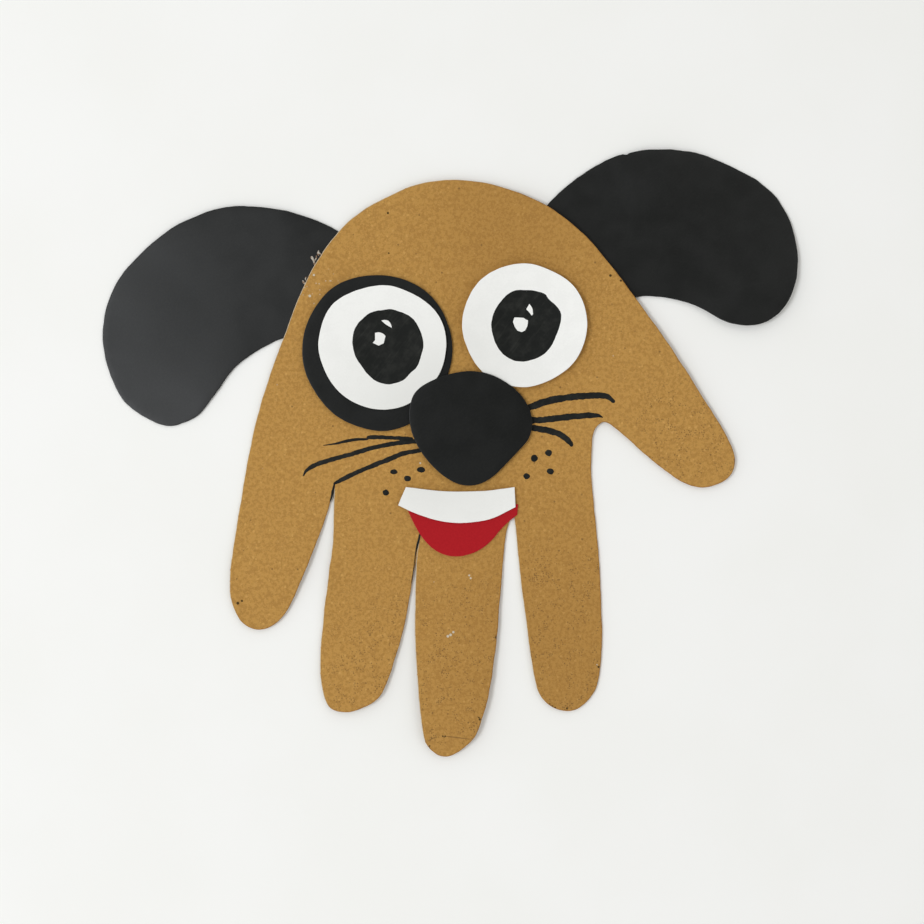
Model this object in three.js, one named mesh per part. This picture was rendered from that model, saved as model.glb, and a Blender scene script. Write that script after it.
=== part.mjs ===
// Handprint dog face: one kraft board cut round a child's hand, with card and paper pieces glued on.
//
// Units are millimetres. The face lies on its back: +Z points out of the face and +Y to its crown.
// The origin is under the middle of the whole outline, at the height of the surface it lies on.
// Left and right are a viewer's, so ear_left is at -X. The hand hangs: the heel of its palm is the
// crown, its fingers point to -Y and its thumb to +X.
//
// Every piece is a flat sheet, and the sheets lie in layers with a thin film of glue between them.
// Thicknesses are whole eighths of a millimetre, so that one sheet's back is exactly the next's front.

import * as THREE from 'three';

// ---- Driving dimensions -------------------------------------------------------------------------

const BOARD = 0.5; // solid kraft board
const CARD = 0.25; // black card of the ears, white paper, red paper
const GLUE = 0.125; // dried film of craft glue

const BOARD_BACK = CARD + GLUE; // the ears lie under the board
const BOARD_FRONT = BOARD_BACK + BOARD;
const FIRST_LAYER = BOARD_FRONT + GLUE; // eye patch, right eye, mouth
const SECOND_LAYER = FIRST_LAYER + CARD + GLUE; // left eye on the patch, teeth on the mouth
const NOSE_BACK = SECOND_LAYER + CARD; // the nose rests on the left eye

const CURVE_STEPS = 4; // straight steps in each span of a curve, from one listed point to the next
const ELLIPSE_STEPS = 24; // straight steps round an ellipse

// ---- Outlines, [x, y] in millimetres --------------------------------------------------------------

// Each runs clockwise as the viewer sees it, but for the left ear's, which starts at the crown as the
// right ear's does and so runs anticlockwise.

// Down the thumb side of the head: crown, right cheek, thumb, web, index finger, up to its inner root.
const CROWN = [[-14.7, 55.8], [-6.8, 59.1], [0.7, 60], [7.5, 59.3], [13.9, 57.5], [21.3, 54.2]];
const RIGHT_CHEEK = [[26.6, 50.3], [32.3, 44.8], [40.5, 34.4], [49.1, 22.1], [57.4, 9.3]];
const THUMB = [[61.2, 2.8], [62.7, -2.1], [61.2, -5.6], [55.2, -7.8], [49.3, -5.4], [42.5, 0.1]];
const WEB = [[35.6, 6], [33.8, 6.9], [32, 5.4], [31.2, 1], [31.2, -6]];
const INDEX_FINGER = [
  [32.6, -20.8], [33.4, -36], [33.1, -47.5], [31.6, -53], [27.6, -56.7], [23, -56.4], [20, -53.8],
  [18.5, -49.4], [17.2, -40.6], [15.6, -28.3],
];
const INDEX_SLIT = [14, -12.6];

const MIDDLE_FINGER = [
  [12.6, -17], [11.2, -30], [9.7, -46.1], [7, -58.9], [4.6, -63.6], [-1.1, -67], [-4.9, -64.6],
  [-6.2, -60], [-7.4, -47], [-7.8, -36], [-7.4, -24],
];
const MIDDLE_SLIT = [-6.4, -16.5];

const RING_FINGER = [
  [-7.9, -25.9], [-9.7, -36.4], [-13, -48.1], [-15.6, -53.8], [-19.4, -56.3], [-23.1, -57.2],
  [-26.2, -56.2], [-27.8, -53.4], [-28.6, -47], [-27.6, -33.5], [-25.9, -20],
];
const RING_SLIT = [-25.5, -7.2];

// Little finger and left cheek, back up to the crown.
const LITTLE_FINGER = [
  [-27.3, -14], [-32.6, -27.8], [-35.9, -34.9], [-38.8, -37.9], [-42.5, -39], [-46, -37.1],
  [-48.2, -32.2], [-48.4, -26.7], [-46.8, -15],
];
const LEFT_CHEEK = [[-44, 1.2], [-41, 13], [-36.7, 25.2], [-31.9, 37.3], [-27.5, 44.8], [-22, 51.2]];

// The last points of each ear are its root, hidden behind the board.
const EAR_LEFT = [
  [-24.9, 48.9], [-34.8, 52.9], [-43.1, 54.1], [-49.6, 54], [-55, 52.5], [-61.8, 49.1], [-68.9, 43.2],
  [-73.6, 37.2], [-76.2, 30.2], [-76.3, 22.1], [-72.3, 11.8], [-66.8, 7.5], [-61.3, 5.9],
  [-56, 7.9], [-51.8, 12.8], [-46.9, 19.2], [-41.4, 23], [-36.7, 25.2], [-28.5, 25.6], [-21.5, 30],
  [-18.5, 37.5], [-19.5, 44.5],
];
const EAR_RIGHT = [
  [21.3, 54.4], [24.2, 57.3], [29.4, 61.5], [36.3, 65.1], [43.6, 66.6], [53.7, 66.1], [64.4, 61.9],
  [68.8, 59.2], [72.3, 55.7], [75.1, 50.4], [76.5, 42.5], [75.3, 35.7], [73, 31.5], [69.2, 28.7],
  [61.2, 28.9], [52.8, 32.9], [44.7, 34.4], [40.5, 34.2], [32, 31.5], [24.5, 32.8], [18.6, 38.5],
  [17.4, 47.5],
];

const EYE_PATCH = [
  [-15.6, 39], [-7, 36.6], [-1.9, 31.5], [0.6, 22.8], [-2.5, 12.5], [-8.5, 6.5], [-15.6, 4.7],
  [-25.3, 8.2], [-31.6, 17], [-32.4, 24], [-30.6, 30.2], [-25, 36.8],
];
const EYE_LEFT = [
  [-15, 36.7], [-7, 34.2], [-2.2, 29.6], [-0.8, 23.4], [-2.6, 16.8], [-8.6, 10.9], [-15, 9.4],
  [-20.3, 10.6], [-24.6, 13.6], [-27.4, 17.8], [-28.9, 24], [-25.7, 32.6],
];
const EYE_RIGHT = [
  [16.3, 41.7], [22.9, 39.9], [27.7, 35.8], [30.1, 28.1], [27.7, 20.4], [23.3, 16.6], [16.3, 14.3],
  [7.5, 17.3], [2.6, 27.5], [6.5, 37.7],
];
const NOSE = [
  [4.2, 17.9], [7.7, 17.5], [11, 16.2], [14, 14.2], [16.6, 11.3], [18.1, 7.2], [17.5, 3.5], [15.6, 1],
  [12.3, -2.5], [9.3, -5.1], [6.5, -6.6], [3.2, -7.1], [0, -6.1], [-4.1, -2.7], [-7.6, 2.3], [-8.9, 7],
  [-8.5, 11.5], [-6.9, 14], [-2.2, 16.6],
];

// The teeth are a straight-ended strip with a hollow top and a full lower edge.
const TEETH_TOP = [[-9.7, -7.6], [-3.6, -8.3], [2, -8.6], [8, -8.4], [14.2, -7.6]];
const TEETH_BOTTOM = [[14.4, -12], [9, -14.6], [3.1, -15.5], [-2, -15.1], [-7, -13.6], [-11.4, -11.6]];

// The mouth's top edge is hidden under the teeth.
const MOUTH_TOP = [[-9.4, -11.4], [2, -10.4], [15, -11.4]];
const MOUTH_BOTTOM = [
  [14.8, -13.7], [12, -16], [9, -19.5], [5.9, -21.7], [2.4, -22.8], [-1.1, -22.6], [-4.2, -20.8],
  [-7, -17.4], [-9.4, -12.4],
];

// Glue films: middle of the film, half its length, half its width, and the turn of its length from +X.
const EAR_LEFT_GLUE = { at: [-26.2, 34.6], half: [8, 3.2], turn: 63 };
const EAR_RIGHT_GLUE = { at: [26.6, 40.2], half: [8, 3.2], turn: -46 };
const EYE_PATCH_GLUE = { at: [-15.6, 22], half: [13, 12], turn: 20 };
const EYE_LEFT_GLUE = { at: [-15, 23], half: [10, 9], turn: -30 };
const EYE_RIGHT_GLUE = { at: [16.3, 28], half: [10, 9], turn: 40 };
const NOSE_GLUE = { at: [5, 2.5], half: [5.5, 4], turn: 10 };
const MOUTH_GLUE = { at: [2.6, -16.4], half: [7.5, 3.2], turn: 0 };
const TEETH_GLUE = { at: [2.4, -12.6], half: [9, 0.9], turn: 0 };

// ---- Shape helpers ------------------------------------------------------------------------------

// A smooth curve through the points, as a list of Vector2.
function curve(points, closed = false) {
  const places = points.map(([x, y]) => new THREE.Vector3(x, y, 0));
  const spans = closed ? points.length : points.length - 1;
  const run = new THREE.CatmullRomCurve3(places, closed).getPoints(spans * CURVE_STEPS);
  if (closed) run.pop(); // the last point repeats the first
  return run.map(({ x, y }) => new THREE.Vector2(x, y));
}

// One outline from several open curves, with a corner or a straight cut from each one's end to the next.
function chain(...curves) {
  const points = curves.flatMap((run) => curve(run));
  return points.filter((point, i) => !point.equals(points[(i + 1) % points.length]));
}

function ellipse({ at: [x, y], half: [length, width], turn }) {
  const angle = THREE.MathUtils.degToRad(turn);
  const round = new THREE.EllipseCurve(x, y, length, width, 0, 2 * Math.PI, false, angle);
  return round.getPoints(ELLIPSE_STEPS).slice(0, -1); // the last point repeats the first
}

// A flat sheet of this outline, with its back at height z.
function sheet(name, outline, thickness, z, material) {
  const shape = new THREE.Shape(outline);
  const geometry = new THREE.ExtrudeGeometry(shape, { depth: thickness, bevelEnabled: false });
  const mesh = new THREE.Mesh(geometry, material());
  mesh.name = name;
  mesh.position.z = z;
  return mesh;
}

// ---- Materials ------------------------------------------------------------------------------------

const stock = (color, roughness) => () => new THREE.MeshStandardMaterial({ color, roughness, metalness: 0 });
const kraftBoard = stock('#b08340', 0.9);
const blackCard = stock('#262826', 0.6);
const whitePaper = stock('#f6f6f4', 0.7);
const redPaper = stock('#a92029', 0.7);
const driedGlue = stock('#dcd7c8', 0.35);

// ---- Pieces ---------------------------------------------------------------------------------------

function headCard() {
  const thumbSide = [...CROWN, ...RIGHT_CHEEK, ...THUMB, ...WEB, ...INDEX_FINGER, INDEX_SLIT];
  const littleSide = [RING_SLIT, ...LITTLE_FINGER, ...LEFT_CHEEK];
  const outline = chain(
    [...littleSide, ...thumbSide],
    [INDEX_SLIT, ...MIDDLE_FINGER, MIDDLE_SLIT],
    [MIDDLE_SLIT, ...RING_FINGER, RING_SLIT],
  );
  return sheet('head_card', outline, BOARD, BOARD_BACK, kraftBoard);
}

function ears() {
  return [
    sheet('ear_left', curve(EAR_LEFT, true), CARD, 0, blackCard),
    sheet('ear_right', curve(EAR_RIGHT, true), CARD, 0, blackCard),
    sheet('glue_ear_left', ellipse(EAR_LEFT_GLUE), GLUE, CARD, driedGlue),
    sheet('glue_ear_right', ellipse(EAR_RIGHT_GLUE), GLUE, CARD, driedGlue),
  ];
}

function eyes() {
  return [
    sheet('glue_eye_patch', ellipse(EYE_PATCH_GLUE), GLUE, BOARD_FRONT, driedGlue),
    sheet('eye_patch', curve(EYE_PATCH, true), CARD, FIRST_LAYER, blackCard),
    sheet('glue_eye_left', ellipse(EYE_LEFT_GLUE), GLUE, FIRST_LAYER + CARD, driedGlue),
    sheet('eye_white_left', curve(EYE_LEFT, true), CARD, SECOND_LAYER, whitePaper),
    sheet('glue_eye_right', ellipse(EYE_RIGHT_GLUE), GLUE, BOARD_FRONT, driedGlue),
    sheet('eye_white_right', curve(EYE_RIGHT, true), CARD, FIRST_LAYER, whitePaper),
  ];
}

// The nose lies across the left eye, so a deep dab of glue reaches from its middle down to the board.
function nose() {
  return [
    sheet('glue_nose', ellipse(NOSE_GLUE), NOSE_BACK - BOARD_FRONT, BOARD_FRONT, driedGlue),
    sheet('nose', curve(NOSE, true), CARD, NOSE_BACK, blackCard),
  ];
}

function mouth() {
  return [
    sheet('glue_mouth', ellipse(MOUTH_GLUE), GLUE, BOARD_FRONT, driedGlue),
    sheet('mouth', chain(MOUTH_TOP, MOUTH_BOTTOM), CARD, FIRST_LAYER, redPaper),
    sheet('glue_teeth', ellipse(TEETH_GLUE), GLUE, FIRST_LAYER + CARD, driedGlue),
    sheet('teeth', chain(TEETH_TOP, TEETH_BOTTOM), CARD, SECOND_LAYER, whitePaper),
  ];
}

const dogFace = new THREE.Group();
dogFace.name = 'handprint_dog_face';
dogFace.add(headCard(), ...ears(), ...eyes(), ...nose(), ...mouth());

// The listed points are within a fraction of a millimetre of the origin that the face stands on.
const middle = new THREE.Box3().setFromObject(dogFace).getCenter(new THREE.Vector3());
dogFace.position.set(-middle.x, -middle.y, 0);

export default dogFace;
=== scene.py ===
"""The looks of a handprint dog face: a kraft board cut round a child's hand, with cut paper glued on it.

The CAD sheets are flat. Here each one becomes the real thing: a sheet with a scissor-cut, slightly
crushed edge, which sags and curls a little with whatever it is glued to. The marker drawing is thin
ink on top. Lengths are in millimetres until a mesh is made, and MM turns them into metres.
"""

import math

import bpy
import numpy as np
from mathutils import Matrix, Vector, kdtree, noise
from mathutils.geometry import delaunay_2d_cdt


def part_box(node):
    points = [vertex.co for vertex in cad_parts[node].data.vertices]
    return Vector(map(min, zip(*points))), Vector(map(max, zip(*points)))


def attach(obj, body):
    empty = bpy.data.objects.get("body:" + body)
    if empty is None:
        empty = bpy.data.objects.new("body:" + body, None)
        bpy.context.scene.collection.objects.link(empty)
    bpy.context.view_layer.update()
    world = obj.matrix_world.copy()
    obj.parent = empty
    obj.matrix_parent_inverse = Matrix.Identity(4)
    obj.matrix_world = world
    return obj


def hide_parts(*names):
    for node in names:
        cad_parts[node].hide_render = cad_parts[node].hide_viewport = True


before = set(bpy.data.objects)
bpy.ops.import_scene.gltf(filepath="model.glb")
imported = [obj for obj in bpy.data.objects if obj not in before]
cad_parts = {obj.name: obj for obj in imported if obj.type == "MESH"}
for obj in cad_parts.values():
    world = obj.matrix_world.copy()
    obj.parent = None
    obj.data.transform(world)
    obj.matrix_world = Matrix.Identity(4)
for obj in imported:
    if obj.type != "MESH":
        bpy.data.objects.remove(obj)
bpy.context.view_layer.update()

MM = 0.001
BODY = "root"


# ---- Colours, as the eye's red, green and blue from 0 to 255 -------------------------------------

def srgb(red, green, blue):
    """A colour in the linear values that shaders take."""
    shares = [channel / 255 for channel in (red, green, blue)]
    return tuple(s / 12.92 if s <= 0.04045 else ((s + 0.055) / 1.055) ** 2.4 for s in shares) + (1.0,)


KRAFT_DARK = srgb(174, 129, 65)
KRAFT_MID = srgb(191, 145, 75)
KRAFT_LIGHT = srgb(212, 168, 96)
KRAFT_FIBRE = srgb(206, 166, 102)
# The next colour is painted shade on the board's right-hand side.
KRAFT_SHADE = srgb(150, 107, 50)
KRAFT_CUT = srgb(150, 104, 48)
# The next colour is a painted highlight on the cut edges that face the window.
KRAFT_EDGE_HIGHLIGHT = srgb(216, 204, 176)
KRAFT_FLECK = srgb(118, 88, 52)
KRAFT_BRUISE = srgb(84, 72, 58)
KRAFT_LINT = srgb(204, 196, 176)
TORN_BROWN = srgb(132, 106, 84)
TORN_GREY = srgb(186, 180, 168)
CARD_BLACK = srgb(4, 6, 4)
CARD_GREY = srgb(10, 12, 9)
CARD_LINT = srgb(62, 64, 61)
PAPER_WHITE = srgb(247, 247, 243)
PAPER_SHADE = srgb(243, 243, 239)
# The next colour is painted shade on the white paper round the nose.
PAPER_PAINTED_SHADE = srgb(227, 227, 222)
PAPER_RED = srgb(175, 22, 31)
PAPER_RED_DEEP = srgb(168, 18, 28)
PAPER_RED_CUT = srgb(196, 78, 78)
GLUE_CLEAR = srgb(214, 206, 184)
GLUE_CLOUDY = srgb(232, 228, 216)
INK_BLACK = srgb(21, 23, 21)
# The next colour is partly the ink's uneven strokes and partly painted sheen.
INK_GREY_STREAK_SHEEN = srgb(41, 42, 39)
TABLE_PALE = srgb(250, 250, 247)
TABLE_SHADE = srgb(248, 248, 244)


# ---- Outlines ------------------------------------------------------------------------------------

FRONT_FACING = 0.9  # a face whose normal rises more than this is part of the sheet's front
CORNER = 0.6  # a sharper turn than this, in radians, is a corner and stays one
SOFTENING = 3  # rounds of smoothing over the facets of the CAD outline
CALM = 2.5  # a cut edge's wandering dies out over this distance from a corner
FINER_SHARE = 0.35  # how much the finer of an edge's two sizes of wander counts
STROKE_STEP = 0.18
STROKE_ROUGHNESS = 0.22  # of half a thin line's width


def outline_of(node):
    """The outline of a CAD sheet's front face, anticlockwise."""
    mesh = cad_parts[node].data
    edges = set()
    for face in mesh.polygons:
        if face.normal.z < FRONT_FACING:
            continue
        corners = [tuple(round(c / MM, 3) for c in mesh.vertices[v].co[:2]) for v in face.vertices]
        for edge in zip(corners, corners[1:] + corners[:1]):
            if edge[::-1] in edges:
                edges.remove(edge[::-1])
            else:
                edges.add(edge)
    follows = dict(edges)
    loop = [min(follows)]
    while follows[loop[-1]] != loop[0]:
        loop.append(follows[loop[-1]])
    return np.array(loop)


def turns(loop):
    """The turn at each point of a closed loop, in radians."""
    before = loop - np.roll(loop, 1, 0)
    after = np.roll(loop, -1, 0) - loop
    cross = before[:, 0] * after[:, 1] - before[:, 1] * after[:, 0]
    return np.arctan2(cross, (before * after).sum(1))


def outward(loop):
    """Unit vectors out of the material, which is on the left of the direction of travel."""
    along = np.roll(loop, -1, 0) - np.roll(loop, 1, 0)
    out = np.stack([along[:, 1], -along[:, 0]], 1)
    return out / np.linalg.norm(out, axis=1, keepdims=True)


def refined(loop, step):
    """The loop with points about step apart and its facets softened, and a flag for each corner."""
    points, corners = [], []
    for here, ahead, turn in zip(loop, np.roll(loop, -1, 0), turns(loop)):
        pieces = max(1, round(float(np.linalg.norm(ahead - here)) / step))
        for k in range(pieces):
            points.append(here + (ahead - here) * k / pieces)
            corners.append(k == 0 and abs(turn) > CORNER)
    points, corners = np.array(points), np.array(corners)
    for _ in range(SOFTENING):
        softer = (np.roll(points, 1, 0) + 2 * points + np.roll(points, -1, 0)) / 4
        points = np.where(corners[:, None], points, softer)
    return points, corners


def ease(share):
    """A smooth step from 0 to 1."""
    share = min(1.0, max(0.0, share))
    return share * share * (3 - 2 * share)


def drift(x, y, size, seed):
    """Smooth noise from -1 to 1, with features of about that size."""
    return noise.noise(Vector((x / size, y / size, seed)))


def hand_cut(loop, corners, wobble, seed, sizes=(4.5, 1.3), nicks=()):
    """The loop as a hand leaves it: wandering and rough, by noise of the two sizes, but true at corners.

    Each nick is a place, a reach and a depth: how far in the edge strays there, or out where negative.
    """
    sharp = loop[corners]
    cut = []
    for point, out in zip(loop, outward(loop)):
        room = min((float(np.linalg.norm(point - c)) for c in sharp), default=CALM)
        wander = drift(*point, sizes[0], seed) + FINER_SHARE * drift(*point, sizes[1], seed + 3)
        shift = ease(room / CALM) * wobble * wander
        for place, reach, depth in nicks:
            shift -= depth * ease(1 - math.dist(point, place) / reach)
        cut.append(point + out * shift)
    return np.array(cut)


def smooth_run(points, step, closed=False):
    """Rows about step apart on the smooth curve through the given rows: x, y and whatever goes along."""
    rows = np.array(points, float)
    if closed:
        rows = np.concatenate([rows[-1:], rows, rows[:2]])
    else:
        rows = np.concatenate([2 * rows[:1] - rows[1:2], rows, 2 * rows[-1:] - rows[-2:-1]])
    run = []
    for a, b, c, d in zip(rows, rows[1:], rows[2:], rows[3:]):
        pieces = max(1, round(math.dist(b[:2], c[:2]) / step))
        for t in (k / pieces for k in range(pieces)):
            run.append(0.5 * (2 * b + (c - a) * t + (2 * a - 5 * b + 4 * c - d) * t ** 2
                              + (3 * b - a - 3 * c + d) * t ** 3))
    if not closed:
        run.append(rows[-2])
    return np.array(run)


def wound(loop, anticlockwise=True):
    """The loop in the asked direction."""
    area = (loop[:, 0] * np.roll(loop[:, 1], -1) - loop[:, 1] * np.roll(loop[:, 0], -1)).sum()
    return loop if (area > 0) == anticlockwise else loop[::-1]


def stroke_loop(line, seed):
    """The outline of a thin line with rough sides and a rounded start and end.

    The line's rows are x, y and the width there.
    """
    run = smooth_run(line, STROKE_STEP)
    middle, half = run[:, :2], run[:, 2:] / 2
    along = np.gradient(middle, axis=0)
    along /= np.linalg.norm(along, axis=1, keepdims=True)
    aside = np.stack([-along[:, 1], along[:, 0]], 1)
    round_end = [math.radians(angle) for angle in (60, 30, 0, -30, -60)]

    def side(sign):
        rough = [drift(x, y, 0.9, seed + sign) + 0.5 * drift(x, y, 0.35, seed + 3 * sign)
                 for x, y in middle]
        return middle + sign * half * (1 + STROKE_ROUGHNESS * np.array(rough)[:, None]) * aside

    def end(k, ahead):
        return [middle[k] + half[k] * (math.sin(a) * aside[k] * ahead + math.cos(a) * along[k] * ahead)
                for a in round_end]

    return np.array([*side(1), *end(-1, 1), *side(-1)[::-1], *end(0, -1)])


# ---- Solids --------------------------------------------------------------------------------------

# A rim's section, from the flat of the face to the cut: share of the rim's width, share of its fall.
RIM_SECTION = [(1.0, 0.0), (0.42, 0.1), (0.12, 0.42), (0.0, 1.0)]
THIN_RIM = (0.035, 0.02)  # the rim's width and fall on a film of ink or a sliver of fibre
THIN_SPACING = 0.9
CLEAR_OF_RIM = 0.6  # of the spacing: points inside a face stay this far from its outline
SAME_POINT = 1e-7


def inside(points, loops):
    """Which points lie inside the first loop and outside the rest."""
    odd = np.zeros(len(points), bool)
    x, y = points[:, 0], points[:, 1]
    for loop in loops:
        for (x1, y1), (x2, y2) in zip(loop, np.roll(loop, -1, 0)):
            if y1 != y2:
                odd ^= ((y1 > y) != (y2 > y)) & (x < (x2 - x1) * (y - y1) / (y2 - y1) + x1)
    return odd


def filling(loops, spacing):
    """Staggered points inside the loops, none nearer to them than a fair triangle allows."""
    low, high = loops[0].min(0), loops[0].max(0)
    rows = np.arange(low[1], high[1], spacing * math.sqrt(3) / 2)
    grid = [(x + spacing / 2 * (k % 2), y)
            for k, y in enumerate(rows) for x in np.arange(low[0], high[0], spacing)]
    grid = np.array(grid).reshape(-1, 2)
    grid = grid[inside(grid, loops)]
    rim = np.concatenate(loops)
    tree = kdtree.KDTree(len(rim))
    for k, (x, y) in enumerate(rim):
        tree.insert((x, y, 0), k)
    tree.balance()
    free = [tree.find((x, y, 0))[2] > CLEAR_OF_RIM * spacing for x, y in grid]
    return grid[np.array(free, bool)] if len(grid) else grid


def face_triangles(loops, inner):
    """Triangles over the face, anticlockwise, numbered as the loops' points and then the inner ones."""
    points = np.concatenate([*loops, inner])
    edges, first = [], 0
    for loop in loops:
        count = len(loop)
        edges += [(first + k, first + (k + 1) % count) for k in range(count)]
        first += count
    made = delaunay_2d_cdt([Vector(p) for p in points], edges, [], 0, SAME_POINT)
    source = [ids[0] for ids in made[3]]
    triangles = np.array([[source[v] for v in face] for face in made[2]])
    corners = points[triangles]
    triangles = triangles[inside(corners.mean(1), loops)]
    a, b, c = (points[triangles[:, k]] for k in range(3))
    area = (b[:, 0] - a[:, 0]) * (c[:, 1] - a[:, 1]) - (b[:, 1] - a[:, 1]) * (c[:, 0] - a[:, 0])
    triangles[area < 0] = triangles[area < 0][:, ::-1]
    return triangles


def wall_faces(loops, rings):
    """The four-sided faces between that many rings of points, each of which holds every loop in turn."""
    count = sum(len(loop) for loop in loops)
    faces, first = [], 0
    for loop in loops:
        size = len(loop)
        for ring in range(rings - 1):
            up, down = ring * count + first, (ring + 1) * count + first
            for k in range(size):
                ahead = (k + 1) % size
                faces.append((down + k, down + ahead, up + ahead, up + k))
        first += size
    return faces


def smooth_piece(name, points, faces, cuts):
    """A smooth-shaded object with that mesh, and cuts as the attribute "cut" of its points."""
    mesh = bpy.data.meshes.new(name)
    mesh.from_pydata([Vector(p) * MM for p in points], [], faces)
    mesh.polygons.foreach_set("use_smooth", [True] * len(mesh.polygons))
    mesh.attributes.new("cut", "FLOAT", "POINT").data.foreach_set("value", cuts)
    piece = bpy.data.objects.new(name, mesh)
    bpy.context.scene.collection.objects.link(piece)
    return piece


def solid(name, loops, low, high, rim, spacing):
    """A closed solid between heights low(x, y) and high(x, y), inside the first loop and outside the rest.

    rim is how far in from the cut each face starts to round over, and how far it falls by the cut. The
    attribute "cut" is 1 on the cut and 0 on the faces.
    """
    width, fall = rim
    loops = [wound(loop, anticlockwise=k == 0) for k, loop in enumerate(loops)]
    section = [(share, high, -down) for share, down in RIM_SECTION]
    section += [(share, low, down) for share, down in reversed(RIM_SECTION)]
    points, cuts, rings = [], [], []
    for share, height, down in section:
        ring = [loop - outward(loop) * share * width for loop in loops]
        rings.append(ring)
        for x, y in np.concatenate(ring):
            points.append((x, y, height(x, y) + down * fall))
            cuts.append(1 - share)
    count = sum(len(loop) for loop in loops)
    inner = filling(rings[0], spacing)
    for height in (high, low):
        points += [(x, y, height(x, y)) for x, y in inner]
        cuts += [0.0] * len(inner)

    def numbered(triangles, ring, inner_first):
        return np.where(triangles < count, triangles + ring * count, triangles - count + inner_first)

    inner_first = len(section) * count
    front = numbered(face_triangles(rings[0], inner), 0, inner_first)
    back = numbered(face_triangles(rings[-1], inner), len(section) - 1, inner_first + len(inner))
    faces = front.tolist() + back[:, ::-1].tolist() + wall_faces(loops, len(section))
    return smooth_piece(name, points, faces, cuts)


def finish_piece(piece, material, slot, *nodes):
    """Gives the piece its material, lets it ride on the body and stand for those CAD nodes."""
    piece.data.materials.append(material)
    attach(piece, BODY)
    if nodes:
        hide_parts(*nodes)


# ---- How the sheets lie --------------------------------------------------------------------------

# Where a sheet stands off what it lies on: the middle of the bulge, its reach and its height.
BOARD_CURLS = [
    ((1, -66), 19, 1.5),  # middle fingertip
    ((2, -48), 12, 0.75),  # middle finger
    ((4, -34), 10, 0.8),  # middle finger's root
    ((-23, -56), 13, 0.6),  # ring fingertip
    ((-48, -34), 15, 0.5),  # little fingertip
    ((51, 24), 22, 0.9),  # right cheek
    ((62, -3), 11, 0.5),  # thumb tip
    ((2, 60), 20, 0.35),  # crown
    ((28, 53), 15, 1.2),  # over the right ear
    ((-33, -24), 10, 0.9),  # the little finger's inner edge
]
EAR_CURLS = [
    ((-38, 56), 13, 0.45),
    ((-60, 52), 12, 0.35),
    ((-46, 12), 12, 0.4),
    ((78, 34), 15, 1.5),
    ((62, 28), 12, 0.6),
    ((47, 63), 10, 0.8),
]
FOLD_LINE = -61.3  # across the middle fingertip, which droops again beyond it
FOLD_SLOPE = 0.14
BOARD_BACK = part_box("head_card")[0].z / MM
SAG_FROM, SAG_TO = 26, -6  # the board leaves the ears' roots at the first and is down by the second
RIPPLES = [(0.05, 17, 1), (0.015, 5, 2)]  # the board's: the height, size and seed of each
EAR_FOLLOWS = 0.5  # the ears rise by this share of what the board does
EAR_LIFTED_TO = 0.2  # and not for more of it than this

NOSE_PROP = (-0.5, 10.5)  # where the left eye stops holding the nose up
NOSE_DROOP_WAY = (0.6, -0.8)
NOSE_DROOP_RUN = 9
NOSE_DROOP = 0.08
NOSE_MIDDLE = (4.6, 5.2)
NOSE_HOLD = 10  # the nose presses the eyes flat to this distance from its middle
NOSE_FREE = 19  # and leaves them free beyond this one


def curls(x, y, bulges):
    """How far a sheet with those bulges stands off at a place."""
    return sum(rise * math.exp(-math.dist((x, y), place) ** 2 / reach ** 2)
               for place, reach, rise in bulges)


def board_lie(x, y):
    """How far the board stands above its place in the flat assembly."""
    sag = BOARD_BACK * ease((SAG_FROM - y) / (SAG_FROM - SAG_TO))
    fold = FOLD_SLOPE * max(0.0, FOLD_LINE - y)
    ripple = sum(height * (1 + drift(x, y, size, seed)) for height, size, seed in RIPPLES)
    return curls(x, y, BOARD_CURLS) - sag - fold + ripple


def ear_lie(x, y):
    """The ears follow the board that they are glued under, and never sink into the table."""
    ripple = 0.04 * (1 + drift(x, y, 13, 7))
    lifted = max(0.0, min(board_lie(x, y), EAR_LIFTED_TO)) * EAR_FOLLOWS
    return lifted + curls(x, y, EAR_CURLS) + ripple


def cupped(middle, radius, rise):
    """The lie of a disc glued at its middle, whose rim curls up where the nose doesn't hold it down."""
    def lie(x, y):
        away = math.dist((x, y), middle) / radius
        free = ease((math.dist((x, y), NOSE_MIDDLE) - NOSE_HOLD) / (NOSE_FREE - NOSE_HOLD))
        return board_lie(x, y) + rise * free * away ** 2
    return lie


def nose_lie(x, y):
    """The nose lies over the left eye, and droops from there to the board on its lower right."""
    beyond = (x - NOSE_PROP[0]) * NOSE_DROOP_WAY[0] + (y - NOSE_PROP[1]) * NOSE_DROOP_WAY[1]
    return board_lie(x, y) - NOSE_DROOP * ease(beyond / NOSE_DROOP_RUN)


# Each disc's middle, its radius and how far its free rim rises.
lie_left_eye = cupped((-15, 23), 13.7, 0.5)
lie_right_eye = cupped((16.3, 28), 13.7, 1.3)
lie_patch = cupped((-15.6, 22), 17, 0.25)


# ---- Materials -----------------------------------------------------------------------------------

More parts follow.
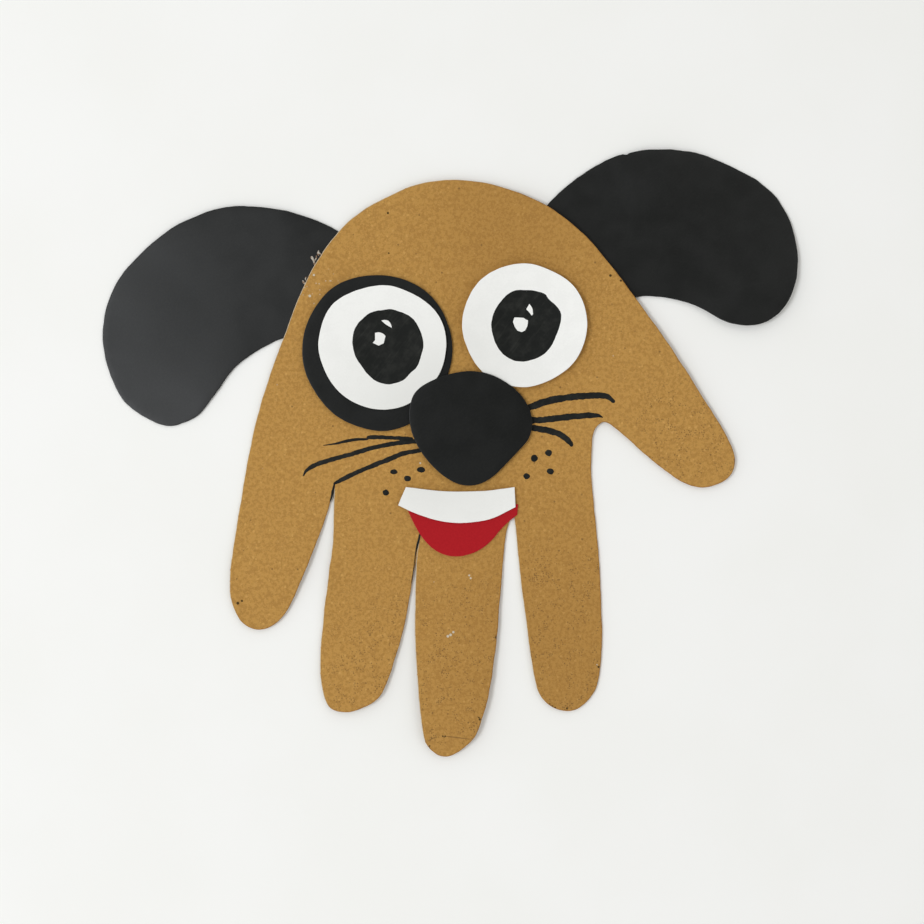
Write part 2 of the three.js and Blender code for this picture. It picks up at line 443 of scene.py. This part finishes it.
class Surface:
    """One procedural material, built up node by node. Sizes of patterns are in millimetres."""

    def __init__(self, name, roughness, specular=0.5):
        self.material = bpy.data.materials.new(name)
        self.material.use_nodes = True
        self.tree = self.material.node_tree
        self.shader = self.tree.nodes["Principled BSDF"]
        self.shader.inputs["Roughness"].default_value = roughness
        self.shader.inputs["Specular IOR Level"].default_value = specular
        self.place = self.tree.nodes.new("ShaderNodeTexCoord").outputs["Object"]

    def node(self, kind, inputs, **settings):
        node = self.tree.nodes.new(kind)
        for key, value in settings.items():
            setattr(node, key, value)
        for key, value in inputs.items():
            if isinstance(value, bpy.types.NodeSocket):
                self.tree.links.new(value, node.inputs[key])
            else:
                node.inputs[key].default_value = value
        return node

    def noise(self, size, detail=2.0, roughness=0.5):
        inputs = {"Vector": self.place, "Scale": 1 / (size * MM), "Detail": detail, "Roughness": roughness}
        return self.node("ShaderNodeTexNoise", inputs).outputs[0]

    def grain(self, length, width, turn):
        """Noise drawn out along one direction, at turn degrees from +X."""
        inputs = {"Vector": self.place, "Rotation": (0, 0, math.radians(turn)),
                  "Scale": (length * MM, width * MM, length * MM)}
        drawn = self.node("ShaderNodeMapping", inputs, vector_type="TEXTURE").outputs[0]
        return self.node("ShaderNodeTexNoise", {"Vector": drawn, "Scale": 1.0, "Detail": 2.0}).outputs[0]

    def thread(self, length, width, turn, fineness):
        """1 along thin wavering fibres at turn degrees from +X, and 0 between them."""
        ridge = self.math("ABSOLUTE", self.math("SUBTRACT", self.grain(length, width, turn), 0.5), 0.0)
        return self.span(ridge, fineness, 0.0)

    def cells(self, size):
        """Distance to a scatter of points that far apart, and a random number for each point.

        The product turns the random colour of each point into one number.
        """
        made = self.node("ShaderNodeTexVoronoi", {"Vector": self.place, "Scale": 1 / (size * MM)})
        return made.outputs["Distance"], self.math("MULTIPLY", made.outputs["Color"], 1.0)

    def math(self, operation, first, second):
        return self.node("ShaderNodeMath", {0: first, 1: second}, operation=operation).outputs[0]

    def strongest(self, shares):
        """The highest of those values at each place."""
        highest = shares[0]
        for share in shares[1:]:
            highest = self.math("MAXIMUM", highest, share)
        return highest

    def span(self, value, start, end, low=0.0, high=1.0):
        """value as it runs smoothly from start to end, turned into low to high."""
        inputs = {"Value": value, "From Min": start, "From Max": end, "To Min": low, "To Max": high}
        return self.node("ShaderNodeMapRange", inputs, interpolation_type="SMOOTHSTEP").outputs[0]

    def specks(self, size, radius, share, clusters=None):
        """Dots of about that radius: share of the points of a scatter carry one, where clusters is high."""
        distance, lot = self.cells(size)
        dot = self.span(distance, radius / size, 0.6 * radius / size)
        dot = self.math("MULTIPLY", dot, self.span(lot, 1 - share, 1.03 - share))
        return dot if clusters is None else self.math("MULTIPLY", dot, clusters)

    def spot(self, place, radius, soft=0.35):
        """1 inside a round patch of the face, and 0 outside it."""
        centre = (place[0] * MM, place[1] * MM, 0)
        flat = self.node("ShaderNodeVectorMath", {0: self.place, 1: (1, 1, 0)}, operation="MULTIPLY")
        gap = self.node("ShaderNodeVectorMath", {0: flat.outputs[0], 1: centre}, operation="DISTANCE")
        return self.span(gap.outputs["Value"], radius * MM, radius * (1 - soft) * MM)

    def scratch(self, place, half_length, half_width, turn):
        """1 along a thin line on the face, and 0 away from it."""
        inputs = {"Vector": self.place, "Location": (place[0] * MM, place[1] * MM, 0),
                  "Rotation": (0, 0, math.radians(turn)), "Scale": (half_length * MM, half_width * MM, 1)}
        drawn = self.node("ShaderNodeMapping", inputs, vector_type="TEXTURE").outputs[0]
        gap = self.node("ShaderNodeVectorMath", {0: drawn}, operation="LENGTH").outputs["Value"]
        return self.span(gap, 1.0, 0.5)

    def blend(self, share, first, second):
        """first where share is 0, and second where it is 1, by the Mix node's sockets for colours."""
        inputs = {0: share, 6: first, 7: second}
        return self.node("ShaderNodeMix", inputs, data_type="RGBA").outputs[2]

    def tinted(self, colour, share, strength, tint):
        """The colour, with the tint over it at that strength where share is 1."""
        return self.blend(self.math("MULTIPLY", share, strength), colour, tint)

    def facing(self, way):
        """1 where the surface leans towards that way, and 0 where it lies flat or leans away."""
        lean = self.tree.nodes.new("ShaderNodeNewGeometry").outputs["Normal"]
        share = self.node("ShaderNodeVectorMath", {0: lean, 1: way}, operation="DOT_PRODUCT")
        return self.span(share.outputs["Value"], 0.1, 0.3)

    def attribute(self, name):
        return self.node("ShaderNodeAttribute", {}, attribute_name=name).outputs["Fac"]

    def finish(self, colour, relief, depth, roughness=None):
        """Joins the colour, and a relief of that depth, to the shader."""
        inputs = {"Height": relief, "Strength": 1.0, "Distance": depth * MM}
        bump = self.node("ShaderNodeBump", inputs).outputs[0]
        self.tree.links.new(colour, self.shader.inputs["Base Color"])
        self.tree.links.new(bump, self.shader.inputs["Normal"])
        if roughness is not None:
            self.tree.links.new(roughness, self.shader.inputs["Roughness"])
        return self.material


# Marks of wear on the board: places, and the radius of each.
DARK_MARKS = [
    ((-13.6, 52.8), 0.3), ((-13.4, 44), 0.22), ((-46.6, -33), 0.4), ((-45.7, -32.5), 0.3),
    ((35.3, 39), 0.35), ((37.6, 37.9), 0.3), ((-1.5, -62.1), 0.22), ((-1, -62.1), 0.22),
    ((-4.7, -64.6), 0.28), ((-4.4, -64.3), 0.22), ((6.6, -58.4), 0.3), ((6.4, -58), 0.2),
    ((-6.3, -58.6), 0.2), ((-5.8, -61.9), 0.25), ((10.2, -40.5), 0.35), ((22, -55.2), 0.2),
    ((22.6, -55.7), 0.25), ((23.2, -56), 0.25), ((25.8, -56.2), 0.25), ((32.8, -47.1), 0.3),
]
PALE_MARKS = [
    ((-0.4, -40.2), 0.35), ((0.2, -39.9), 0.35), ((0.8, -39.3), 0.3), ((4.3, -26.9), 0.25),
    ((4.6, -27.5), 0.25), ((-6.5, -2.2), 0.25), ((-29.9, 39.2), 0.3), ((-30.8, 34.6), 0.35),
]
# Where dark flecks are thick: places, and the reach of each.
SOILED = [((3, -62), 50), ((27, -40), 30), ((54, 2), 22)]
DUSTY = ((-28.6, 36), 6)  # pale dust by the torn fibres
# Painted shade in the crease across the middle fingertip: middle, half length and width, turn in degrees.
CREASE_SHADE_LINES = [((-3.7, -62.6), 1.4, 0.15, 26), ((1.6, -62.4), 4.4, 0.15, -7)]
LIT_EDGE_SIDE = (-0.86, 0.5, 0)  # the cut edges that face this way, up and to the left towards the window, get a painted highlight
PAINTED_SHADE_SPOTS = [((24, -46), 60), ((14, 50), 32)]  # painted shade: the board is darker round the lower right fingers and the crown's right side


def kraft_pulp(s, blotch, fibres):
    """The board's own colour: brown blotches, with paler fibres and specks."""
    colour = s.blend(s.span(blotch, 0.42, 0.56), KRAFT_DARK, KRAFT_MID)
    colour = s.tinted(colour, fibres, 0.2, KRAFT_FIBRE)
    pale = s.specks(1.2, 0.34, 0.5, s.span(blotch, 0.4, 0.52))
    return s.tinted(colour, pale, 0.5, KRAFT_LIGHT)


def kraft_shade_and_wear(s, colour):
    """Painted shade on the board's right-hand side, then dark flecks, lint and dust."""
    # Painted shade, darker where the window's light falls off to the right.
    for place, radius in PAINTED_SHADE_SPOTS:
        colour = s.tinted(colour, s.spot(place, radius, soft=1.0), 0.3, KRAFT_SHADE)
    soiled = s.strongest([s.spot(place, radius, soft=1.0) for place, radius in SOILED])
    clusters = s.span(s.noise(2.2, detail=2.0), 0.46, 0.58)
    thick = s.math("MULTIPLY", clusters, s.span(soiled, 0.0, 0.5, 0.2, 1.0))
    flecks = s.strongest([s.specks(0.42, 0.2, 0.55, thick), s.specks(2.1, 0.27, 0.35)])
    colour = s.tinted(colour, flecks, 0.7, KRAFT_FLECK)
    colour = s.tinted(colour, s.specks(3.1, 0.2, 0.22), 0.75, KRAFT_LINT)
    dust = s.specks(0.75, 0.17, 0.6, s.spot(*DUSTY, soft=0.6))
    return s.tinted(colour, dust, 0.8, KRAFT_LINT)


def kraft_marks(s, colour):
    """The painted shade in the crease, and the separate marks of wear."""
    for crease_shade in CREASE_SHADE_LINES:
        # Painted shade along the crease.
        colour = s.tinted(colour, s.scratch(*crease_shade), 0.7, KRAFT_FLECK)
    for place, radius in DARK_MARKS:
        colour = s.tinted(colour, s.spot(place, radius), 0.85, CARD_GREY)
    for place, radius in PALE_MARKS:
        colour = s.blend(s.spot(place, radius), colour, KRAFT_LINT)
    return colour


def kraft_edge(s, colour):
    """The cut edge: browner, bruised in places, and with a painted highlight on the side that faces the
    window.
    """
    ragged = s.noise(0.7, detail=2.0)
    edge = s.attribute("cut")
    colour = s.blend(s.math("MULTIPLY", edge, s.span(ragged, 0.3, 0.65, 0.35, 1.0)), colour, KRAFT_CUT)
    bruise = s.math("MULTIPLY", edge, s.specks(1.4, 0.4, 0.35))
    colour = s.tinted(colour, bruise, 0.7, KRAFT_BRUISE)
    # Painted highlight: pale ragged fibres on the edges that face up and left, where the window's light
    # catches them.
    edge_highlight = s.math("MULTIPLY", s.facing(LIT_EDGE_SIDE), s.span(ragged, 0.25, 0.42))
    return s.blend(s.math("MULTIPLY", edge_highlight, s.span(edge, 0.25, 0.8, 0.0, 0.9)), colour, KRAFT_EDGE_HIGHLIGHT)


def kraft_board():
    s = Surface("kraft_board", roughness=0.8, specular=0.15)
    blotch = s.noise(0.75, detail=3.0, roughness=0.74)
    fibres = s.strongest([s.thread(1.9, 0.24, turn, 0.03) for turn in (12, 67, 131)])
    colour = kraft_pulp(s, blotch, fibres)
    colour = kraft_shade_and_wear(s, colour)
    colour = kraft_marks(s, colour)
    colour = kraft_edge(s, colour)
    relief = s.math("ADD", s.noise(0.35, detail=3.0), s.math("MULTIPLY", fibres, 0.5))
    return s.finish(colour, relief, 0.03, s.span(blotch, 0.3, 0.7, 0.86, 0.76))


def torn_fibre():
    s = Surface("torn_fibre", roughness=0.85, specular=0.15)
    tangle = s.noise(0.5, detail=3.0)
    return s.finish(s.blend(s.span(tangle, 0.42, 0.58), TORN_BROWN, TORN_GREY), tangle, 0.04)


def black_card(name="black_card", specular=0.5):
    s = Surface(name, roughness=0.42, specular=specular)
    grain = s.noise(0.45, detail=3.0, roughness=0.6)
    colour = s.blend(s.span(grain, 0.35, 0.65), CARD_BLACK, CARD_GREY)
    colour = s.tinted(colour, s.specks(4.2, 0.14, 0.22), 0.6, CARD_LINT)
    colour = s.tinted(colour, s.thread(3.2, 0.3, 38, 0.012), 0.12, CARD_LINT)
    return s.finish(colour, grain, 0.008, s.span(s.noise(6), 0.3, 0.7, 0.38, 0.43))


def black_paper():
    """The paper of the nose and the patch, duller than the ears' card."""
    return black_card("black_paper", specular=0.35)


NOSE_SHADE_SPOT = ((-2, 5), 36)  # painted shade: the white paper is greyer round the nose


def white_paper():
    s = Surface("white_paper", roughness=0.7, specular=0.3)
    grain = s.noise(0.4, detail=3.0, roughness=0.6)
    cloud = s.noise(4, detail=2.0)
    colour = s.blend(s.span(s.math("ADD", grain, cloud), 0.8, 1.2), PAPER_SHADE, PAPER_WHITE)
    colour = s.tinted(colour, s.thread(2.2, 0.25, 24, 0.02), 0.3, PAPER_SHADE)
    # Painted shade round the nose, over both eye discs and the teeth.
    colour = s.blend(s.spot(*NOSE_SHADE_SPOT, soft=1.0), colour, PAPER_PAINTED_SHADE)
    return s.finish(colour, grain, 0.015)


def red_paper():
    s = Surface("red_paper", roughness=0.68, specular=0.15)
    grain = s.noise(0.5, detail=3.0, roughness=0.6)
    colour = s.blend(s.span(grain, 0.3, 0.7), PAPER_RED_DEEP, PAPER_RED)
    cut = s.math("MULTIPLY", s.attribute("cut"), s.span(s.noise(0.6), 0.4, 0.6, 0.0, 0.6))
    return s.finish(s.blend(cut, colour, PAPER_RED_CUT), grain, 0.015)


def dried_glue():
    s = Surface("dried_glue", roughness=0.35)
    cloud = s.noise(1.8, detail=2.0)
    return s.finish(s.blend(s.span(cloud, 0.35, 0.65), GLUE_CLEAR, GLUE_CLOUDY), cloud, 0.06)


def marker_ink():
    s = Surface("marker_ink", roughness=0.6, specular=0.15)
    # Grey pools and streaks in the ink: partly its uneven strokes, partly painted sheen.
    pooled = s.noise(2.4, detail=3.0, roughness=0.65)
    streak = s.grain(5.0, 0.5, 52)
    streak_and_sheen = s.math("ADD", s.span(pooled, 0.4, 0.75, 0.0, 0.7), s.span(streak, 0.5, 0.75, 0.0, 0.5))
    return s.finish(s.blend(streak_and_sheen, INK_BLACK, INK_GREY_STREAK_SHEEN), s.noise(0.5), 0.008)


def pale_table():
    s = Surface("pale_table", roughness=0.75, specular=0.2)
    cloud = s.noise(40, detail=3.0)
    return s.finish(s.blend(s.span(cloud, 0.3, 0.7), TABLE_SHADE, TABLE_PALE), s.noise(0.8), 0.004)


MAKERS = (kraft_board, torn_fibre, black_card, black_paper, white_paper, red_paper, dried_glue, marker_ink)
MATERIALS = {make.__name__: make() for make in MAKERS}


# ---- The cut sheets ------------------------------------------------------------------------------

# node: its slot, its material, the lie of the sheet, the wander of its cut edge
SHEETS = {
    "head_card": ("kraft_board", "kraft_board", board_lie, 0.14),
    "ear_left": ("black_card", "black_card", ear_lie, 0.16),
    "ear_right": ("black_card", "black_card", ear_lie, 0.16),
    "eye_patch": ("black_card", "black_paper", lie_patch, 0.08),
    "eye_white_left": ("white_paper", "white_paper", lie_left_eye, 0.06),
    "eye_white_right": ("white_paper", "white_paper", lie_right_eye, 0.06),
    "nose": ("black_card", "black_paper", nose_lie, 0.08),
    "mouth": ("red_paper", "red_paper", board_lie, 0.1),
    "teeth": ("white_paper", "white_paper", board_lie, 0.08),
}
# Where the cut edge strays: the place, the reach, and how far in it goes, or out where negative.
NICKS = {
    "ear_right": [((38.9, 65.8), 0.8, 0.35), ((64, 28.3), 10, -0.4)],
    "eye_white_right": [((21, 40.5), 11, 0.5)],
    "nose": [((7, -6.3), 8, -0.32)],
}

EDGE_STEP = 0.45
BOARD_SPACING = 1.4
PAPER_SPACING = 1.1
RIM_WIDTH = 0.6  # of the sheet's thickness
RIM_FALL = 0.25


def cut_sheet(node, slot, material, lie, wobble, seed):
    """One glued or cut sheet in place of its flat CAD node."""
    low, high = (corner.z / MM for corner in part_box(node))
    thick = high - low
    loop, corners = refined(outline_of(node), EDGE_STEP)
    loop = hand_cut(loop, corners, wobble, seed, nicks=NICKS.get(node, ()))
    spacing = BOARD_SPACING if slot == "kraft_board" else PAPER_SPACING
    piece = solid(
        node + "_sheet",
        [loop],
        lambda x, y: low + lie(x, y),
        lambda x, y: high + lie(x, y),
        (RIM_WIDTH * thick, RIM_FALL * thick),
        spacing,
    )
    finish_piece(piece, MATERIALS[material], slot, node)


def cut_sheets():
    for number, (node, row) in enumerate(SHEETS.items(), 1):
        cut_sheet(node, *row, seed=11.3 * number)


# ---- Torn fibres ---------------------------------------------------------------------------------

# Slivers pulled from the board's cut edge, which lie on the left ear: x, y and the width there.
TORN_FIBRES = [
    [(-29.4, 40.9, 0.5), (-29.8, 41.8, 0.4), (-30, 42.5, 0.45), (-30.4, 43.1, 0.6)],
    [(-28.9, 43.6, 0.25), (-29, 44.1, 0.5), (-28.9, 44.6, 0.2)],
    [(-28.1, 43.5, 0.2), (-28.4, 43.8, 0.3), (-28.7, 44.1, 0.2)],
    [(-29.7, 42.5, 0.2), (-29.4, 43, 0.26), (-29.4, 43.5, 0.2)],
    [(-31.6, 37.3, 0.3), (-32.2, 37.6, 0.5), (-32.4, 38, 0.2)],
    [(-31.6, 38, 0.2), (-31.8, 38.4, 0.26), (-31.7, 38.8, 0.2)],
]
FIBRE_THICK = 0.1


def torn_fibres():
    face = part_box("ear_left")[1].z / MM
    for number, line in enumerate(TORN_FIBRES, 1):
        sliver = solid(
            f"torn_fibre_{number}",
            [stroke_loop(line, 2.3 * number)],
            lambda x, y: face + ear_lie(x, y),
            lambda x, y: face + ear_lie(x, y) + FIBRE_THICK,
            THIN_RIM,
            THIN_SPACING,
        )
        finish_piece(sliver, MATERIALS["torn_fibre"], "kraft_board")


# ---- The glue ------------------------------------------------------------------------------------

# node of the glue: how the sheet under it lies, how the sheet over it lies
GLUES = {
    "glue_ear_left": (ear_lie, board_lie),
    "glue_ear_right": (ear_lie, board_lie),
    "glue_eye_patch": (board_lie, lie_patch),
    "glue_eye_left": (lie_patch, lie_left_eye),
    "glue_eye_right": (board_lie, lie_right_eye),
    "glue_nose": (board_lie, nose_lie),
    "glue_mouth": (board_lie, board_lie),
    "glue_teeth": (board_lie, board_lie),
}
GLUE_WANDER = 0.7
GLUE_RIM = (0.12, 0.04)


def glue_smears():
    for number, (node, (under, over)) in enumerate(GLUES.items(), 1):
        low, high = (corner.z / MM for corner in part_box(node))
        loop, corners = refined(outline_of(node), EDGE_STEP)
        loop = hand_cut(loop, corners, GLUE_WANDER, 5.7 * number)
        smear = solid(
            node + "_smear",
            [loop],
            lambda x, y: low + under(x, y),
            lambda x, y: high + over(x, y),
            GLUE_RIM,
            PAPER_SPACING,
        )
        finish_piece(smear, MATERIALS["dried_glue"], "dried_glue", node)


# ---- The marker drawing --------------------------------------------------------------------------

INK_SUNK = 0.012  # how far ink soaks in below the face
INK_PROUD = 0.022  # and how far it stands above it
INK_STEP = 0.25
PUPIL_WANDER = 0.07
FRECKLE_WANDER = 0.2
FRECKLE_POINTS = 24

PUPIL_LEFT = [
    (-21.3, 23.6), (-21.1, 26.4), (-20, 28.6), (-17.4, 30.8), (-14.6, 31.4), (-12, 31.4), (-7.9, 29.3),
    (-5.8, 24.3), (-6.9, 19.5), (-8.5, 17.7), (-10.4, 15.9), (-13.2, 15.1), (-15.4, 15.5), (-17.7, 17),
    (-20.3, 20.5),
]
PUPIL_RIGHT = [
    (9.2, 27.4), (10, 31.5), (13.2, 35.2), (17.2, 35.8), (20.6, 35), (21.8, 33.7), (24.1, 31.3),
    (24.3, 28.5), (22, 23.1), (18.5, 20.6), (14.2, 20.3), (10.8, 22.8),
]
# Bare paper left inside each pupil, as straight-sided patches.
GLINTS_LEFT = [
    [(-16.4, 26.4), (-15.5, 26.6), (-14.5, 26.2), (-14.1, 25.7), (-14.5, 24.1), (-15.6, 23.6), (-16.9, 24.2),
     (-16.4, 24.8)],
    [(-15, 29.1), (-14.3, 29.3), (-13.5, 29.1), (-12.9, 28.4), (-12.7, 27.5), (-13.5, 27.9), (-14.4, 28.5)],
]
GLINTS_RIGHT = [
    [(14.2, 29.8), (15.3, 29.8), (16.3, 29.7), (16.7, 29.3), (17.2, 29.2), (17.1, 27.9), (16.5, 26.9),
     (15.8, 26.6), (14.9, 26.9), (14.3, 27.7), (13.9, 28.8)],
    [(17.5, 32.8), (18.2, 31.8), (18.3, 30.5), (18, 30.2), (17.5, 30.9), (16.8, 31.6)],
]

# Marker lines on the board: x, y and the width of the line there.
STROKES = {
    "whisker_left_upper": [
        (-8.5, 3.1, 0.9), (-13.1, 3.4, 0.85), (-17.6, 3.5, 0.9), (-18.3, 3.1, 0.5), (-20.8, 3, 0.68),
        (-23, 2.6, 0.65), (-25.2, 2.1, 0.42), (-27.8, 1.7, 0.16),
    ],
    "whisker_left_middle": [
        (-7.4, 2.6, 1), (-10.9, 2.3, 1), (-14, 1.8, 1), (-17.6, 1, 1), (-21.3, -0.1, 1.05),
        (-24.9, -1.1, 1), (-27.7, -1.9, 1), (-30, -2.8, 0.95), (-31.5, -3.8, 0.7), (-32.2, -4.9, 0.35),
    ],
    "whisker_left_lower": [
        (-6.6, 0.6, 0.95), (-10.3, -0.1, 1), (-13, -1.2, 1.05), (-15.8, -2.3, 1.05), (-18.5, -3.4, 1),
        (-21.3, -4.6, 1), (-23.3, -5.6, 0.95), (-24.6, -6.3, 0.85), (-25.4, -6.7, 0.5),
    ],
    "whisker_right_upper": [
        (16.8, 9.8, 1.4), (19.1, 10.6, 1.55), (21.4, 11.4, 1.55), (24.3, 12, 1.5), (27.3, 12.4, 1.45),
        (30.2, 12.6, 1.4), (33.1, 12.7, 1.4), (34.7, 12.4, 1.2), (36, 11.4, 0.8),
    ],
    "whisker_right_middle": [
        (17.2, 7.1, 1.35), (21.4, 7.4, 1.4), (24.3, 7.8, 1.45), (27.3, 8.1, 1.4), (30.2, 8.3, 1.3),
        (32.3, 8.3, 0.9), (33.6, 7.9, 0.25),
    ],
    "whisker_right_lower": [
        (17.2, 5.7, 1.2), (20.6, 5.2, 1.4), (22.8, 4.7, 1.35), (24.3, 4.1, 1.4), (25.6, 3.2, 1.3),
        (26.5, 2.3, 1.1), (26.8, 1.8, 0.8),
    ],
    "trace_ring_slit": [(-25.4, -6.9, 0.35), (-25.7, -8.1, 0.5), (-25.95, -9.4, 0.5), (-26.35, -10.7, 0.2)],
    "trace_middle_slit": [
        (-6.5, -17.6, 0.3), (-6.8, -19, 0.5), (-7.2, -20.6, 0.42), (-7.6, -22.6, 0.22), (-8, -25.9, 0.18),
        (-8.45, -28.7, 0.12),
    ],
}
# Freckles: x, y, half the width and half the height.
FRECKLES = [
    (-12.4, -4.1, 0.78, 0.63), (-6.4, -3.6, 0.88, 0.65), (-9.3, -5.6, 0.74, 0.7), (-14.1, -8.7, 0.74, 0.68),
    (21.8, 0, 0.72, 0.68), (18.7, -1.1, 0.76, 0.7), (22.2, -4, 0.72, 0.68), (16.9, -5.1, 0.72, 0.68),
]


def ink(name, loops, on, lie):
    """A thin film of ink with that outline on the front face of a CAD node's sheet."""
    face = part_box(on)[1].z / MM
    film = solid(
        name,
        loops,
        lambda x, y: face + lie(x, y) - INK_SUNK,
        lambda x, y: face + lie(x, y) + INK_PROUD,
        THIN_RIM,
        THIN_SPACING,
    )
    finish_piece(film, MATERIALS["marker_ink"], "marker_ink")


def feathered(loop, amount, seed):
    """The outline of ink, roughened by the paper's grain."""
    return hand_cut(wound(loop), np.zeros(len(loop), bool), amount, seed, sizes=(1.1, 0.4))


def glint(points):
    """A patch of bare paper with straight sides and corners."""
    return refined(np.array(points, float), INK_STEP)[0]


def pupils():
    sides = [
        ("left", PUPIL_LEFT, GLINTS_LEFT, lie_left_eye),
        ("right", PUPIL_RIGHT, GLINTS_RIGHT, lie_right_eye),
    ]
    for side, points, glints, lie in sides:
        rim = feathered(smooth_run(points, INK_STEP, closed=True), PUPIL_WANDER, 2.5)
        ink("pupil_" + side, [rim, *map(glint, glints)], "eye_white_" + side, lie)


def whiskers():
    for number, (name, line) in enumerate(STROKES.items(), 1):
        ink(name, [stroke_loop(line, 3.1 * number)], "head_card", board_lie)


def freckles():
    for number, (x, y, wide, tall) in enumerate(FRECKLES, 1):
        angles = np.linspace(0, 2 * math.pi, FRECKLE_POINTS, endpoint=False)
        ring = np.stack([x + wide * np.cos(angles), y + tall * np.sin(angles)], 1)
        ink(f"freckle_{number}", [feathered(ring, FRECKLE_WANDER, 1.9 * number)], "head_card", board_lie)


# ---- Camera, light and table ---------------------------------------------------------------------

LOOKED_AT = (2.7, -1.95, 1.0)  # the middle of the view
VIEW_WIDTH = 203.3  # how much of the table the view takes in
LENS = 60
SENSOR = 36
TABLE_HALF = 3000
WINDOW_PLACE = (-500, -40, 860)
WINDOW_SIZE = 320
WINDOW_POWER = 2.95
DAYLIGHT = (0.98, 1.01, 1.06)
SKY_COLOUR = (1.0, 0.995, 0.982, 1.0)
SKY_SIDES = 0.87  # the surround's strength at the sides
SKY_OVERHEAD = 0.07  # and straight up
SKY_TURN = (0.8, 0.96)  # how far up, as a sine, the surround starts and ends its change overhead


def camera():
    data = bpy.data.cameras.new("camera")
    data.lens = LENS
    data.sensor_width = SENSOR
    data.clip_start = 0.01
    eye = bpy.data.objects.new("camera", data)
    x, y, z = LOOKED_AT
    eye.location = Vector((x, y, z + VIEW_WIDTH * LENS / SENSOR)) * MM
    bpy.context.scene.collection.objects.link(eye)
    bpy.context.scene.camera = eye


def window():
    """A round soft light on the left, aimed at the face."""
    data = bpy.data.lights.new("window", "AREA")
    data.shape = "DISK"
    data.size = WINDOW_SIZE * MM
    data.energy = WINDOW_POWER
    data.color = DAYLIGHT
    lamp = bpy.data.objects.new("window", data)
    lamp.location = Vector(WINDOW_PLACE) * MM
    lamp.rotation_euler = (-Vector(WINDOW_PLACE)).to_track_quat("-Z", "Y").to_euler()
    bpy.context.scene.collection.objects.link(lamp)


def sky():
    """A soft surround, bright at the sides and dim straight up."""
    world = bpy.data.worlds.new("soft_surround")
    world.use_nodes = True
    tree = world.node_tree
    way = tree.nodes.new("ShaderNodeTexCoord").outputs["Generated"]
    height = tree.nodes.new("ShaderNodeSeparateXYZ")
    tree.links.new(way, height.inputs[0])
    strength = tree.nodes.new("ShaderNodeMapRange")
    strength.interpolation_type = "SMOOTHSTEP"
    tree.links.new(height.outputs["Z"], strength.inputs["Value"])
    limits = (*SKY_TURN, SKY_SIDES, SKY_OVERHEAD)
    for socket, value in zip(("From Min", "From Max", "To Min", "To Max"), limits):
        strength.inputs[socket].default_value = value
    background = tree.nodes["Background"]
    background.inputs["Color"].default_value = SKY_COLOUR
    tree.links.new(strength.outputs[0], background.inputs["Strength"])
    bpy.context.scene.world = world


def table():
    mesh = bpy.data.meshes.new("table")
    reach = TABLE_HALF * MM
    corners = [(-reach, -reach, 0), (reach, -reach, 0), (reach, reach, 0), (-reach, reach, 0)]
    mesh.from_pydata(corners, [], [(0, 1, 2, 3)])
    top = bpy.data.objects.new("table", mesh)
    mesh.materials.append(pale_table())
    bpy.context.scene.collection.objects.link(top)


def studio():
    camera()
    window()
    sky()
    table()
    bpy.context.scene.view_settings.view_transform = "Standard"


studio()
cut_sheets()
torn_fibres()
glue_smears()
pupils()
whiskers()
freckles()
